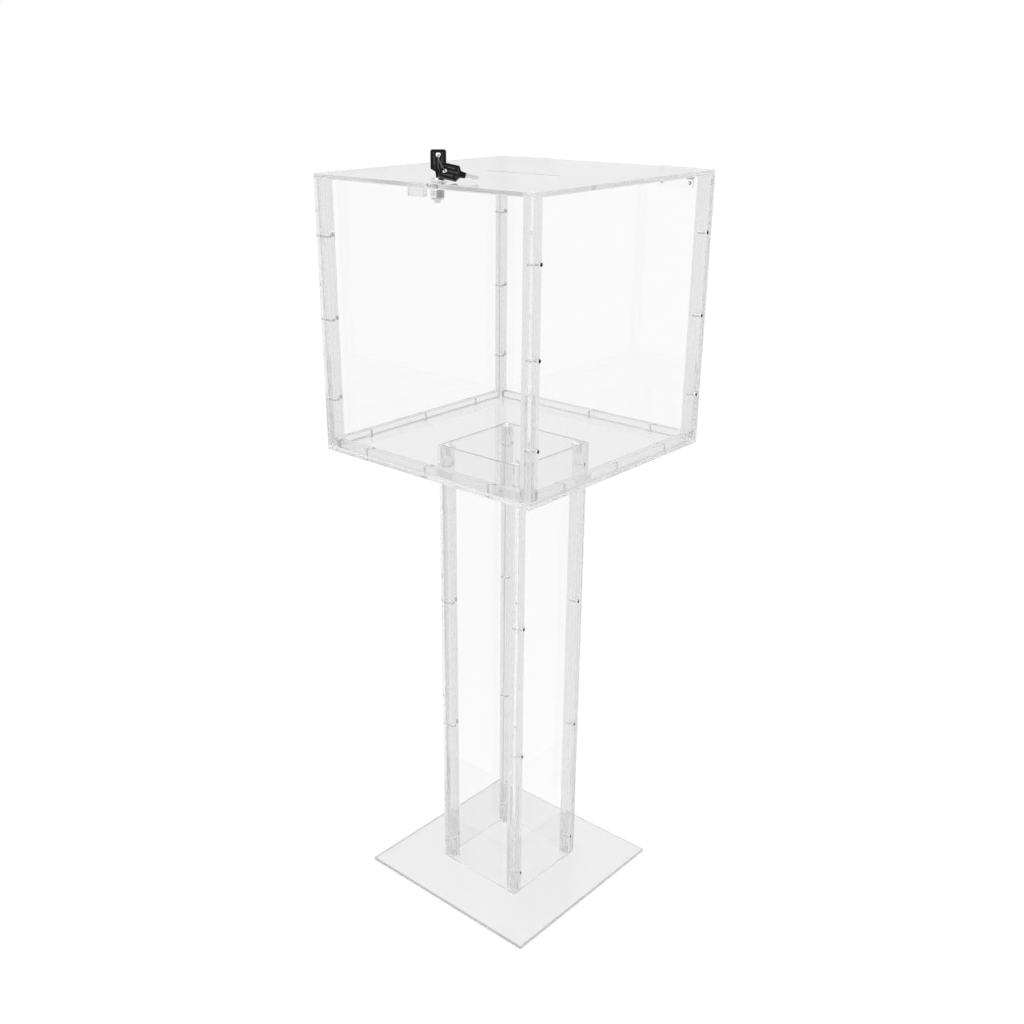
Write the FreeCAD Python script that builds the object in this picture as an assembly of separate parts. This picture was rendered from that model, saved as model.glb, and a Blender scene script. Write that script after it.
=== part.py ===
"""Offering box in clear sheet: a square box on a tall square column and base plate.

Millimetres. +Z is up, the front (the side with the lock) faces -Y, and the origin
is the centre of the base plate's underside.
"""
import FreeCAD
import Part
import math
import os

os.makedirs("parts", exist_ok=True)

# Stock
sheet = 6.0
post_bar = 14.0
rail_bar = 12.0

# Base and column
base_side = 340.0
column_side = 162.0
column_height = 760.0

# Box and lid
box_side = 400.0
wall_height = 390.0
lid_gap = 0.3
edge_break = 0.5
bar_edge_break = 0.4

# Slot for offerings
slot_length = 134.0
slot_width = 8.0
slot_x = 25.0
slot_y = -15.0

# Side screws, pan headed, through the side sheets into the upright bars
screw_d = 4.0
screw_reach = 16.0
head_d = 7.2
head_h = 2.6
head_round_share = 0.55
recess_width = 1.1
recess_span = 4.0
recess_depth = 1.4
clear_gap = 0.15
tap_gap = 0.02
box_rows = 3
box_row_foot = 73.0
box_row_top = 79.0
column_rows = 4
column_row_foot = 39.0
column_row_top = 32.5

# Countersunk screws from below and pan screws down into the column's bars
sunk_head_d = 8.0
sunk_head_h = 2.3
rail_screw_reach = 16.0
rail_screw_count = 3
rail_screw_end = 60.0
foot_screw_reach = 22.0
top_screw_reach = 22.0

# Hinges
hinge_width = 60.0
hinge_inset = 68.0
hinge_knuckle_r = 3.3
hinge_back_gap = 0.4
hinge_pin_r = 1.0
hinge_pin_run_gap = 0.05
hinge_pin_tight_gap = 0.01
hinge_knuckles = 5
hinge_knuckle_gap = 0.3
hinge_leaf_t = 2.0
hinge_lid_leaf_depth = 20.0
hinge_wall_leaf_drop = 22.0
hinge_leaf_corner_r = 5.0
hinge_shoulder_drop = 1.5
hinge_stop_angle = 115.0
hinge_stop_t = 1.5
hinge_top_margin = 0.6
hinge_screw_spacing = 48.0
hinge_screw_drop = 14.5
hinge_screw_d = 3.0
hinge_screw_reach = 6.5
hinge_screw_head_d = 5.6
hinge_screw_head_h = 1.8

# Lock
lock_x = 18.0
lock_setback = 26.0
lock_head_d = 22.0
lock_head_h = 4.5
lock_head_bevel = 1.2
barrel_d = 18.5
barrel_flats = 16.0
barrel_length = 20.0
barrel_hole_gap = 0.25
nut_across = 22.0
nut_h = 4.0
nut_gap = 0.02
plug_r = 6.5
plug_run_gap = 0.05
plug_rim_r = 7.8
plug_rim_h = 1.5
plug_end_gap = 0.3
tail_side = 7.0
tail_gap = 0.05
keyway_depth = 18.2
keyway_gap = 0.3
cam_t = 2.0
cam_reach = 24.0
cam_tip_r = 4.0
cam_hub_r = 8.0
cam_screw_d = 4.0
cam_screw_reach = 8.0
cam_screw_head_across = 7.0
cam_screw_head_h = 3.2
cam_washer_d = 11.0
cam_washer_t = 1.0

# Strike block on the front wall, which the turned cam reaches under
strike_length = 29.0
strike_depth = 7.0
strike_lock_gap = 5.5
strike_top_gap = 0.5
strike_cam_gap = 2.0

# Keys on a ring: one stands in the lock, the spare leans in front of it
key_angle = 35.0
key_head_w = 20.5
key_head_length = 27.0
key_head_t = 5.0
key_head_corner_r = 3.0
key_head_slope = 3.0
key_neck_w = 8.0
key_neck_length = 7.5
key_rest_gap = 0.3
key_panel_border = 3.2
key_panel_depth = 0.7
key_hole_from_end = 6.3
key_hole_r = 3.4
key_hole_collar = 1.5
key_blade_w = 6.5
key_blade_t = 2.0
key_blade_length = 17.2
key_tang_length = 8.0
key_tip_slope = 2.4
key_cuts = 4
key_cut_depth = 1.3
key_cut_pitch = 3.2
key_cut_from_tip = 4.6
key_cut_mouth_share = 0.9
key_cut_floor_share = 0.24
key_shallow_share = 0.55
ring_wire_r = 0.7
spare_offset = 9.4
spare_side_gap = 0.5
spare_rest_gap = 0.3
spare_tilt = 12.0
spare_lean = 30.0

# How near an edge must lie to a place to be taken as being there
near = 0.1

# Worked out from the values above
base_top = sheet
column_top = base_top + column_height
floor_top = column_top + sheet
wall_top = floor_top + wall_height
lid_under = wall_top + lid_gap
lid_top = lid_under + sheet
box_half = box_side / 2
column_half = column_side / 2
side_names = {-1: "left", 1: "right"}
end_names = {-1: "front", 1: "back"}
corners = [(sx, sy) for sy in (-1, 1) for sx in (-1, 1)]


def vec(x, y, z):
    return FreeCAD.Vector(x, y, z)


def block(x0, x1, y0, y1, z0, z1):
    """A box between two opposite corners."""
    return Part.makeBox(x1 - x0, y1 - y0, z1 - z0, vec(x0, y0, z0))


def rod(radius, start, end):
    """A cylinder from one point to another."""
    return Part.makeCylinder(radius, (end - start).Length, start, end - start)


def prism(points, start, direction):
    """A straight prism on a closed polygon given by 3-D points."""
    wire = Part.makePolygon([start + p for p in points] + [start + points[0]])
    return Part.Face(wire).extrude(direction)


def hexagon(across, z0, z1, x, y):
    """An upright hexagonal prism, measured across its flats."""
    radius = across / math.sqrt(3)
    points = []
    for step in range(6):
        turn = math.radians(60 * step)
        points.append(vec(x + radius * math.cos(turn), y + radius * math.sin(turn), z0))
    return prism(points, vec(0, 0, 0), vec(0, 0, z1 - z0))


def save(name, shape):
    shape.exportStep("parts/" + name + ".step")


def save_group(name, shapes):
    save(name, Part.makeCompound(shapes))


def corner_name(sx, sy):
    return end_names[sy] + "_" + side_names[sx]


def pan_screw(place, inward, reach, d=screw_d, across=head_d, height=head_h):
    """A pan head outside the surface and a plain shank going in, as one solid."""
    inward = vec(*inward)
    outer = place - inward * height
    head = rod(across / 2, outer, place)
    rim = [edge for edge in head.Edges
           if edge.Length > across and edge.BoundBox.Center.distanceToPoint(outer) < near]
    head = head.makeFillet(height * head_round_share, rim)
    shank = rod(d / 2, place, place + inward * reach)
    whole = head.fuse(shank)
    return whole.cut(cross_recess(outer, inward, d / screw_d))


def cross_recess(outer, inward, scale):
    """The cross in a screw head: two thin blocks at right angles."""
    span = recess_span * scale / 2
    thin = recess_width * scale / 2
    cross = None
    for a, b in ((span, thin), (thin, span)):
        arm = Part.makeBox(2 * a, 2 * b, recess_depth * scale, vec(-a, -b, 0))
        cross = arm if cross is None else cross.fuse(arm)
    cross.Placement = FreeCAD.Placement(outer, FreeCAD.Rotation(vec(0, 0, 1), inward))
    return cross


def sunk_screw(place, inward, reach):
    """A countersunk screw whose flat head is flush with the surface."""
    inward = vec(*inward)
    head = Part.makeCone(sunk_head_d / 2, screw_d / 2, sunk_head_h, place, inward)
    shank = rod(screw_d / 2, place, place + inward * reach)
    return head.fuse(shank).cut(cross_recess(place, inward, 1.0))


def sunk_hole(place, inward, reach, gap):
    """The space that a countersunk screw needs, with its gap all round."""
    inward = vec(*inward)
    head = Part.makeCone(sunk_head_d / 2 + gap, screw_d / 2 + gap, sunk_head_h, place, inward)
    return head.fuse(rod(screw_d / 2 + gap, place, place + inward * (reach + gap)))


def shank_hole(place, inward, reach, gap, d=screw_d):
    inward = vec(*inward)
    return rod(d / 2 + gap, place, place + inward * (reach + gap))


def sheet_block(x0, x1, y0, y1, z0, z1):
    """A sheet with its sharp edges taken off."""
    plain = block(x0, x1, y0, y1, z0, z1)
    return plain.makeChamfer(edge_break, plain.Edges)


def bar_block(x0, x1, y0, y1, z0, z1):
    """A square bar with its sharp edges taken off."""
    plain = block(x0, x1, y0, y1, z0, z1)
    return plain.makeChamfer(bar_edge_break, plain.Edges)


# Where the screws go
post_axis = sheet + post_bar / 2
rail_axis = sheet + rail_bar / 2


def spread(first, last, count):
    """Evenly spaced places from the first to the last."""
    return [first + (last - first) * i / (count - 1) for i in range(count)]


box_row_heights = spread(floor_top + box_row_foot, wall_top - box_row_top, box_rows)
column_row_heights = spread(base_top + column_row_foot, column_top - column_row_top, column_rows)


def rail_screw_places():
    """Points under the box floor, by the rail that each group holds."""
    line = box_half - rail_axis
    reach = box_half - sheet - post_bar - rail_screw_end
    steps = spread(-reach, reach, rail_screw_count)
    places = {}
    for s in (-1, 1):
        places[end_names[s]] = [vec(t, s * line, column_top) for t in steps]
        places[side_names[s]] = [vec(s * line, t, column_top) for t in steps]
    return places


column_bar_line = column_half - post_axis
column_bar_points = {(sx, sy): (sx * column_bar_line, sy * column_bar_line) for sx, sy in corners}


def make_base():
    plate = sheet_block(-base_side / 2, base_side / 2, -base_side / 2, base_side / 2, 0, base_top)
    screws = []
    for x, y in column_bar_points.values():
        plate = plate.cut(sunk_hole(vec(x, y, 0), (0, 0, 1), foot_screw_reach, tap_gap))
        screws.append(sunk_screw(vec(x, y, 0), (0, 0, 1), foot_screw_reach))
    save("base_plate", plate)
    save_group("column_base_screws", screws)


def make_tube(prefix, half, z0, z1, heights, end_holes, back_holes):
    """Four upright bars and four sheets of one square tube, with its side screws."""
    inner = half - sheet
    line = half - post_axis
    for sx, sy in corners:
        xs = sorted((sx * inner, sx * (inner - post_bar)))
        ys = sorted((sy * inner, sy * (inner - post_bar)))
        post = bar_block(xs[0], xs[1], ys[0], ys[1], z0, z1)
        for z in heights:
            start = vec(sx * half, sy * line, z)
            post = post.cut(shank_hole(start, (-sx, 0, 0), screw_reach, tap_gap))
        for hole in end_holes(sx, sy):
            post = post.cut(hole)
        save(prefix + "_post_" + corner_name(sx, sy), post)
    for sy in (-1, 1):
        ys = sorted((sy * half, sy * inner))
        panel = sheet_block(-inner, inner, ys[0], ys[1], z0, z1)
        if sy > 0:
            for hole in back_holes:
                panel = panel.cut(hole)
        save(prefix + "_panel_" + end_names[sy], panel)
    for sx in (-1, 1):
        xs = sorted((sx * half, sx * inner))
        panel = sheet_block(xs[0], xs[1], -half, half, z0, z1)
        screws = []
        for start in [vec(sx * half, s * line, z) for z in heights for s in (-1, 1)]:
            panel = panel.cut(shank_hole(start, (-sx, 0, 0), screw_reach, clear_gap))
            screws.append(pan_screw(start, (-sx, 0, 0), screw_reach))
        save(prefix + "_panel_" + side_names[sx], panel)
        save_group(prefix + "_screws_" + side_names[sx], screws)


def column_end_holes(sx, sy):
    """The screw holes up into a column bar's foot and down into its top."""
    x, y = column_bar_points[(sx, sy)]
    foot = shank_hole(vec(x, y, 0), (0, 0, 1), foot_screw_reach, tap_gap)
    top = shank_hole(vec(x, y, floor_top), (0, 0, -1), top_screw_reach, tap_gap)
    return [foot, top]


def no_end_holes(sx, sy):
    return []


def make_floor():
    """The box floor, its screws into the column and the rails that it carries."""
    plate = sheet_block(-box_half, box_half, -box_half, box_half, column_top, floor_top)
    top_screws = []
    for x, y in column_bar_points.values():
        start = vec(x, y, floor_top)
        plate = plate.cut(shank_hole(start, (0, 0, -1), top_screw_reach, clear_gap))
        top_screws.append(pan_screw(start, (0, 0, -1), top_screw_reach))
    floor_screws = []
    outer = box_half - sheet
    inner = outer - rail_bar
    end = outer - post_bar
    rail_top = floor_top + rail_bar
    rails = {"front": bar_block(-end, end, -outer, -inner, floor_top, rail_top),
             "back": bar_block(-end, end, inner, outer, floor_top, rail_top),
             "left": bar_block(-outer, -inner, -end, end, floor_top, rail_top),
             "right": bar_block(inner, outer, -end, end, floor_top, rail_top)}
    for name, places in rail_screw_places().items():
        rail = rails[name]
        for start in places:
            rail = rail.cut(shank_hole(start, (0, 0, 1), rail_screw_reach, tap_gap))
            plate = plate.cut(sunk_hole(start, (0, 0, 1), rail_screw_reach, tap_gap))
            floor_screws.append(sunk_screw(start, (0, 0, 1), rail_screw_reach))
        save("floor_rail_" + name, rail)
    save("box_floor", plate)
    save_group("column_top_screws", top_screws)
    save_group("floor_screws", floor_screws)


# Hinge line, lock place and lock heights
hinge_centre = box_half - hinge_inset
lock_y = lock_setback - box_half
hinge_y = box_half + hinge_back_gap + hinge_knuckle_r
hinge_z = lid_top - hinge_knuckle_r
lock_face = lid_top + lock_head_h
barrel_end = lid_top - barrel_length
cam_top = barrel_end - plug_end_gap
cam_under = cam_top - cam_t


def barrel_shape(radius, flats, z0, z1):
    """A round bar with two flats, which can't turn in a hole of its own shape."""
    round_bar = Part.makeCylinder(radius, z1 - z0, vec(lock_x, lock_y, z0))
    keep = block(lock_x - radius, lock_x + radius, lock_y - flats / 2, lock_y + flats / 2, z0, z1)
    return round_bar.common(keep)


def make_lid():
    plate = sheet_block(-box_half, box_half, -box_half, box_half, lid_under, lid_top)
    x0 = slot_x - slot_length / 2
    y0 = slot_y - slot_width / 2
    plate = plate.cut(block(x0, x0 + slot_length, y0, y0 + slot_width, lid_under, lid_top))
    for sx in (-1, 1):
        centre = sx * hinge_centre
        pocket = block(centre - hinge_width / 2, centre + hinge_width / 2,
                       box_half - hinge_lid_leaf_depth, box_half, lid_top - hinge_leaf_t, lid_top)
        plate = plate.cut(pocket)
    hole = barrel_shape(barrel_d / 2 + barrel_hole_gap, barrel_flats + 2 * barrel_hole_gap,
                        lid_under, lid_top)
    save("lid_panel", plate.cut(hole))


def knuckle_spans(centre):
    """The stretches along X of one hinge's knuckles, from left to right."""
    pitch = hinge_width / hinge_knuckles
    left = centre - hinge_width / 2
    spans = []
    for i in range(hinge_knuckles):
        start = left + pitch * i + (hinge_knuckle_gap / 2 if i > 0 else 0)
        end = left + pitch * (i + 1) - (hinge_knuckle_gap / 2 if i < hinge_knuckles - 1 else 0)
        spans.append((start, end))
    return spans


def hinge_screw_starts(sx):
    """Where one hinge's two screws enter its wall leaf."""
    centre = sx * hinge_centre
    z = wall_top - hinge_screw_drop
    return [vec(centre + s * hinge_screw_spacing / 2, box_half + hinge_leaf_t, z) for s in (-1, 1)]


def hinge_screw_hole(start):
    return shank_hole(start, (0, -1, 0), hinge_screw_reach, tap_gap, hinge_screw_d)


def bracket_outline():
    """The section of a wall knuckle's bracket, seen along X.

    Its back edge ends in a stop: a slope that the opened lid's top face would lie
    flat against at the stop angle, level with the closed lid's top.
    """
    r = hinge_knuckle_r
    front = box_half + hinge_back_gap
    leaf_outer = box_half + hinge_leaf_t
    turn = math.radians(hinge_stop_angle)
    foot = vec(0, hinge_y + r * math.sin(turn), hinge_z + r * math.cos(turn))
    rise = hinge_z + r - foot.z
    stop_y = foot.y - rise / math.tan(turn)
    back = stop_y + hinge_stop_t
    shoulder = hinge_z - r - hinge_shoulder_drop
    low = shoulder - (back - leaf_outer)
    return [vec(0, front, hinge_z), vec(0, front, low), vec(0, leaf_outer, low), vec(0, back, shoulder),
            vec(0, back, hinge_z + r), vec(0, stop_y, hinge_z + r), foot]


def make_hinge(sx):
    """A five-knuckle butt hinge: outer and middle knuckles on the wall, the rest on the lid."""
    name = side_names[sx]
    centre = sx * hinge_centre
    spans = knuckle_spans(centre)
    left = centre - hinge_width / 2
    right = centre + hinge_width / 2
    pin_line = (vec(left, hinge_y, hinge_z), vec(right, hinge_y, hinge_z))
    leaf_under = lid_top - hinge_leaf_t

    lid_leaf = block(left, right, box_half - hinge_lid_leaf_depth, box_half, leaf_under, lid_top)
    for x0, x1 in spans[1::2]:
        lid_leaf = lid_leaf.fuse(rod(hinge_knuckle_r, vec(x0, hinge_y, hinge_z), vec(x1, hinge_y, hinge_z)))
        lid_leaf = lid_leaf.fuse(block(x0, x1, box_half, hinge_y, leaf_under, lid_top))
    lid_leaf = lid_leaf.cut(rod(hinge_pin_r + hinge_pin_run_gap, *pin_line)).removeSplitter()
    save("hinge_lid_leaf_" + name, lid_leaf)

    leaf_bottom = wall_top - hinge_wall_leaf_drop
    wall_leaf = block(left, right, box_half, box_half + hinge_leaf_t,
                      leaf_bottom, wall_top - hinge_top_margin)
    lower = [edge for edge in wall_leaf.Edges
             if edge.BoundBox.ZMax < leaf_bottom + near and edge.BoundBox.YLength > hinge_leaf_t / 2]
    wall_leaf = wall_leaf.makeFillet(hinge_leaf_corner_r, lower)
    for x0, x1 in spans[0::2]:
        knuckle = rod(hinge_knuckle_r, vec(x0, hinge_y, hinge_z), vec(x1, hinge_y, hinge_z))
        wall_leaf = wall_leaf.fuse(knuckle)
        wall_leaf = wall_leaf.fuse(prism(bracket_outline(), vec(x0, 0, 0), vec(x1 - x0, 0, 0)))
    wall_leaf = wall_leaf.cut(rod(hinge_pin_r + hinge_pin_tight_gap, *pin_line))
    for start in hinge_screw_starts(sx):
        wall_leaf = wall_leaf.cut(hinge_screw_hole(start))
    save("hinge_wall_leaf_" + name, wall_leaf.removeSplitter())
    save("hinge_pin_" + name, rod(hinge_pin_r, *pin_line))


def make_hinge_screws(starts):
    screws = []
    for start in starts:
        screws.append(pan_screw(start, (0, -1, 0), hinge_screw_reach, hinge_screw_d,
                                hinge_screw_head_d, hinge_screw_head_h))
    save_group("hinge_screws", screws)


def make_lock():
    z_rim = lock_face - plug_rim_h
    head = Part.makeCylinder(lock_head_d / 2, lock_head_h, vec(lock_x, lock_y, lid_top))
    rim = [edge for edge in head.Edges if edge.BoundBox.ZMin > lock_face - near]
    head = head.makeChamfer(lock_head_bevel, rim)
    body = head.fuse(barrel_shape(barrel_d / 2, barrel_flats, barrel_end, lid_top))
    bore = Part.makeCylinder(plug_r + plug_run_gap, lock_face - barrel_end, vec(lock_x, lock_y, barrel_end))
    seat = Part.makeCylinder(plug_rim_r + plug_run_gap, plug_rim_h, vec(lock_x, lock_y, z_rim))
    save("lock_body", body.cut(bore).cut(seat))

    nut = hexagon(nut_across, lid_under - nut_h, lid_under, lock_x, lock_y)
    nut = nut.cut(Part.makeCylinder(barrel_d / 2 + nut_gap, nut_h, vec(lock_x, lock_y, lid_under - nut_h)))
    save("lock_nut", nut)

    plug = Part.makeCylinder(plug_r, lock_face - barrel_end, vec(lock_x, lock_y, barrel_end))
    plug = plug.fuse(Part.makeCylinder(plug_rim_r, plug_rim_h - plug_run_gap,
                                       vec(lock_x, lock_y, z_rim + plug_run_gap)))
    tail_end = cam_under
    half = tail_side / 2
    plug = plug.fuse(block(lock_x - half, lock_x + half, lock_y - half, lock_y + half, tail_end, barrel_end))
    keyway_w = key_blade_w / 2 + keyway_gap
    keyway_t = key_blade_t / 2 + keyway_gap
    keyway = block(lock_x - keyway_w, lock_x + keyway_w, lock_y - keyway_t, lock_y + keyway_t,
                   lock_face - keyway_depth, lock_face)
    screw_hole = rod(cam_screw_d / 2 + tap_gap, vec(lock_x, lock_y, tail_end),
                     vec(lock_x, lock_y, tail_end + cam_screw_reach - cam_washer_t))
    plug = plug.cut(keyway).cut(screw_hole).removeSplitter()

    tip_x = lock_x - (cam_reach - cam_tip_r)
    tip = Part.makeCylinder(cam_tip_r, cam_t, vec(tip_x, lock_y, cam_under))
    hub = Part.makeCylinder(cam_hub_r, cam_t, vec(lock_x, lock_y, cam_under))
    arm = block(tip_x, lock_x, lock_y - cam_tip_r, lock_y + cam_tip_r, cam_under, cam_top)
    square = half + tail_gap
    cam = hub.fuse(arm).fuse(tip)
    cam = cam.cut(block(lock_x - square, lock_x + square, lock_y - square, lock_y + square,
                        cam_under, cam_top))

    washer_under = cam_under - cam_washer_t
    washer = Part.makeCylinder(cam_washer_d / 2, cam_washer_t, vec(lock_x, lock_y, washer_under))
    washer = washer.cut(Part.makeCylinder(cam_screw_d / 2 + clear_gap, cam_washer_t,
                                          vec(lock_x, lock_y, washer_under)))
    bolt = hexagon(cam_screw_head_across, washer_under - cam_screw_head_h, washer_under, lock_x, lock_y)
    bolt = bolt.fuse(rod(cam_screw_d / 2, vec(lock_x, lock_y, washer_under),
                         vec(lock_x, lock_y, washer_under + cam_screw_reach)))
    turned = {"lock_plug": plug, "cam": cam.removeSplitter(), "cam_washer": washer, "cam_screw": bolt}
    for name, shape in turned.items():
        turn = key_angle if name != "cam" else key_angle - 90
        shape.rotate(vec(lock_x, lock_y, 0), vec(0, 0, 1), turn)
        save(name, shape)


def make_strike():
    z0 = cam_top + strike_cam_gap
    inner = sheet - box_half
    right = lock_x - strike_lock_gap
    save("strike_block", bar_block(right - strike_length, right, inner, inner + strike_depth,
                                   z0, wall_top - strike_top_gap))


def key_solids():
    """A flat key, upright with its ring hole at the origin: its blade and its moulded head."""
    end = key_hole_from_end
    head_foot = end - key_head_length
    neck_foot = head_foot - key_neck_length
    half = key_head_w / 2
    neck = key_neck_w / 2
    shoulder = head_foot + key_head_slope
    outline = [vec(-half, 0, end), vec(half, 0, end), vec(half, 0, shoulder), vec(neck, 0, head_foot),
               vec(neck, 0, neck_foot), vec(-neck, 0, neck_foot), vec(-neck, 0, head_foot),
               vec(-half, 0, shoulder)]
    head = prism(outline, vec(0, -key_head_t / 2, 0), vec(0, key_head_t, 0))
    tops = [edge for edge in head.Edges
            if edge.BoundBox.ZMin > end - near and edge.BoundBox.YLength > key_head_t / 2]
    head = head.makeFillet(key_head_corner_r, tops)
    inner = half - key_panel_border
    low = shoulder + key_panel_border
    high = -key_hole_r - key_hole_collar
    for s in (-1, 1):
        ys = sorted((s * key_head_t / 2, s * (key_head_t / 2 - key_panel_depth)))
        head = head.cut(block(-inner, inner, ys[0], ys[1], low, high))
    head = head.cut(rod(key_hole_r, vec(0, -key_head_t / 2, 0), vec(0, key_head_t / 2, 0)))

    w = key_blade_w / 2
    tang_top = head_foot + key_tang_length
    tip = neck_foot - key_blade_length
    points = [vec(-w, 0, tang_top), vec(w, 0, tang_top)]
    for i in reversed(range(key_cuts)):
        z = tip + key_cut_from_tip + key_cut_pitch * i
        depth = key_cut_depth * (1 if i % 2 else key_shallow_share)
        wide = key_cut_pitch * key_cut_mouth_share / 2
        flat = key_cut_pitch * key_cut_floor_share / 2
        points += [vec(w, 0, z + wide), vec(w - depth, 0, z + flat), vec(w - depth, 0, z - flat),
                   vec(w, 0, z - wide)]
    points += [vec(w - key_tip_slope, 0, tip), vec(-w + key_tip_slope, 0, tip),
               vec(-w, 0, tip + key_tip_slope)]
    blade = prism(points, vec(0, -key_blade_t / 2, 0), vec(0, key_blade_t, 0))
    tang = block(-w, w, -key_blade_t / 2, key_blade_t / 2, neck_foot, tang_top)
    return blade, head.cut(tang)


def make_keys():
    """The key in the lock, the ring through its hole, and the spare on the ring."""
    to_neck = key_head_length - key_hole_from_end + key_neck_length
    hole_height = lock_face + key_rest_gap + to_neck
    upright = FreeCAD.Placement(vec(lock_x, lock_y, hole_height), FreeCAD.Rotation(vec(0, 0, 1), key_angle))
    tip_down = FreeCAD.Rotation(vec(0, 1, 0), spare_tilt - 90)
    lean = tip_down.multiply(FreeCAD.Rotation(vec(0, 0, 1), spare_lean))
    lowest = 0
    for shape in key_solids():
        shape.Placement = FreeCAD.Placement(vec(0, 0, 0), lean)
        lowest = min([lowest] + [vertex.Z for vertex in shape.Vertexes])
    drop = hole_height - (lid_top + spare_rest_gap - lowest)
    turn = math.radians(spare_lean)
    half_t = key_head_t / 2
    aside = half_t + half_t * math.cos(turn) + key_head_w / 2 * math.sin(turn) + spare_side_gap
    leaning = FreeCAD.Placement(vec(spare_offset, -aside, -drop), lean)
    for prefix, place in (("key", upright), ("spare_key", upright.multiply(leaning))):
        blade, head = key_solids()
        for part, shape in (("blade", blade), ("head", head)):
            shape.Placement = place
            save(prefix + "_" + part, shape)

    # The ring is the circle that leaves the first hole square to the key and meets the spare's hole
    chord = math.hypot(spare_offset, drop)
    ring_r = (chord * chord + aside * aside) / (2 * chord)
    along = vec(spare_offset, 0, -drop) * (1 / chord)
    ring = Part.makeTorus(ring_r, ring_wire_r, along * ring_r, along.cross(vec(0, 1, 0)))
    ring.Placement = upright.multiply(ring.Placement)
    save("key_ring", ring)


hinge_starts = hinge_screw_starts(-1) + hinge_screw_starts(1)
make_base()
make_tube("column", column_half, base_top, column_top, column_row_heights, column_end_holes, [])
make_floor()
make_tube("box", box_half, floor_top, wall_top, box_row_heights, no_end_holes,
          [hinge_screw_hole(start) for start in hinge_starts])
make_lid()
make_hinge(-1)
make_hinge(1)
make_hinge_screws(hinge_starts)
make_lock()
make_strike()
make_keys()
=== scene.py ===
"""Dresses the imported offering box: clear and satin sheets, sawn bars, screws, cam lock and keys.

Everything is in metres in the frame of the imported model; sizes named here are in
millimetres and go through MM.
"""
import math

import bpy
import numpy as np
from mathutils import Matrix, Vector
from mathutils.geometry import tessellate_polygon


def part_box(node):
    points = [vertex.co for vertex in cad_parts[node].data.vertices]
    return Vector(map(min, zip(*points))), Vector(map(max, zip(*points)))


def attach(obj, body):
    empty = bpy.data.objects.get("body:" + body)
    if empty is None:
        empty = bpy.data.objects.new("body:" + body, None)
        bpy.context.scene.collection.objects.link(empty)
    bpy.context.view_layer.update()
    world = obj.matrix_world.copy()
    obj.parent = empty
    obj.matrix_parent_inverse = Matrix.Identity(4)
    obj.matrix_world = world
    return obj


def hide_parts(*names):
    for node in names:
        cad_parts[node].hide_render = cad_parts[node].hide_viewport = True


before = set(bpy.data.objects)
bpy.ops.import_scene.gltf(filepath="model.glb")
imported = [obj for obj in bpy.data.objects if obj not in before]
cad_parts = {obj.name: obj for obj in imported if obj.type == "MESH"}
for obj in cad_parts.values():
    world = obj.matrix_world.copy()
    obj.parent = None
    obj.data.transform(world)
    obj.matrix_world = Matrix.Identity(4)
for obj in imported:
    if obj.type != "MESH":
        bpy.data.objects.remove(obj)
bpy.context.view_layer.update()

MM = 0.001
# Name of the map that holds the key heads' painted highlights
PAINTED_HIGHLIGHT_MAP = "rubbed"
scene = bpy.context.scene


# Mesh helpers

def mesh_piece(name, parts, smooth=False):
    """One object from (points, faces) pairs in millimetres, placed by its vertices."""
    points = np.concatenate([np.asarray(verts, dtype=float) for verts, _ in parts])
    faces = []
    start = 0
    for verts, polys in parts:
        faces += [tuple(int(i) + start for i in poly) for poly in polys]
        start += len(verts)
    mesh = bpy.data.meshes.new(name)
    mesh.from_pydata((points * MM).tolist(), [], faces)
    mesh.polygons.foreach_set("use_smooth", np.full(len(mesh.polygons), smooth))
    mesh.update()
    piece = bpy.data.objects.new(name, mesh)
    scene.collection.objects.link(piece)
    return piece


def mark_sharp(piece):
    """Shades a piece smooth except over edges sharper than 35 degrees."""
    piece.data.set_sharp_from_angle(angle=math.radians(35))


def grid_faces(rows, cols, closed_rows, closed_cols):
    """Quads between neighbours of a grid of points, whose rows or columns may join up again."""
    r = np.arange(rows if closed_rows else rows - 1)
    c = np.arange(cols if closed_cols else cols - 1)
    rr, cc = np.meshgrid(r, c, indexing="ij")
    r2 = (rr + 1) % rows
    c2 = (cc + 1) % cols
    quads = np.stack([rr * cols + cc, rr * cols + c2, r2 * cols + c2, r2 * cols + cc], axis=-1)
    return quads.reshape(-1, 4).tolist()


def tube_faces(rows, cols):
    """The side of a tube of rows of points, and one flat face at each of its ends."""
    last = (rows - 1) * cols
    ends = [tuple(range(cols))[::-1], tuple(range(last, last + cols))]
    return grid_faces(rows, cols, False, True) + ends


def flip(part):
    """The same surface with its faces turned round."""
    verts, faces = part
    return verts, [tuple(reversed(face)) for face in faces]


def placed(part, origin, x_axis, y_axis, z_axis):
    """A surface carried from its own axes to a place in the frame."""
    verts, faces = part
    basis = np.array([x_axis, y_axis, z_axis], dtype=float)
    return np.asarray(verts) @ basis + np.asarray(origin, dtype=float), faces


def along(origin, direction):
    """Axes for a piece whose own z runs along the given direction."""
    z = np.asarray(direction, dtype=float)
    z = z / np.linalg.norm(z)
    side = np.array([0.0, 0.0, 1.0]) if abs(z[2]) < 0.9 else np.array([1.0, 0.0, 0.0])
    x = np.cross(side, z)
    x = x / np.linalg.norm(x)
    return origin, x, np.cross(z, x), z


def full_turn(steps):
    """Angles once round in equal steps."""
    return np.linspace(0, 2 * np.pi, steps, endpoint=False)


def around_z(radius, height, angle, x=0.0, y=0.0):
    """Rows of points round a line along z: (x + r cos t, y + r sin t) at each row's height."""
    points_x = x + radius * np.cos(angle)
    points_y = y + radius * np.sin(angle)
    return np.stack([points_x, points_y, np.broadcast_to(height, points_x.shape)], axis=-1).reshape(-1, 3)


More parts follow.
